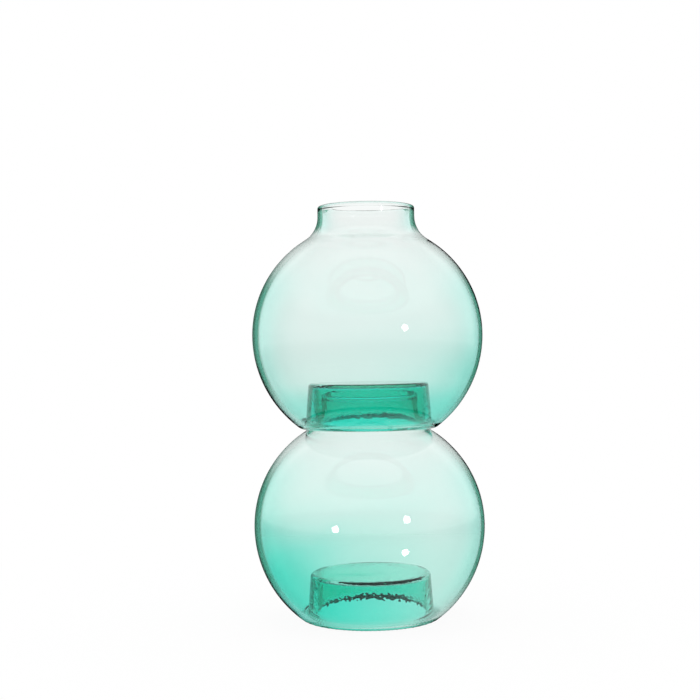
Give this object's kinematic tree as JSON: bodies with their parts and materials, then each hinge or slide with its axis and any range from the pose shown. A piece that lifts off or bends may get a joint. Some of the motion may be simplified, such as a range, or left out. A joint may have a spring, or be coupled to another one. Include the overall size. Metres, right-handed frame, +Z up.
{
  "type": "stacked glass vase",
  "caption": "Round sea-green glass vases of one design, stacked: the recess in the upper one's base sits over the short open neck of the lower one and lifts straight off.",
  "frame": {"origin": "centre of the lower vase's foot, on the surface it stands on", "axes": "+Z up along the axis that both vases share; the vases are round, so +X is to the right and -Y is towards the viewer of the picture"},
  "size_m": [0.12, 0.12, 0.215],
  "materials": {
    "sea_green_glass": "clear mouth-blown soda glass tinted sea green, fire-polished rim, hammered texture on the wall of the base recess"
  },
  "bodies": {
    "lower_vase": {"lower_vase": "sea_green_glass"},
    "upper_vase": {"upper_vase": "sea_green_glass"}
  },
  "joints": [
    {"name": "upper_vase_lift", "type": "slide", "parent": "lower_vase", "child": "upper_vase", "axis": [0, 0, 1], "range_m": [0, 0.08]}
  ]
}
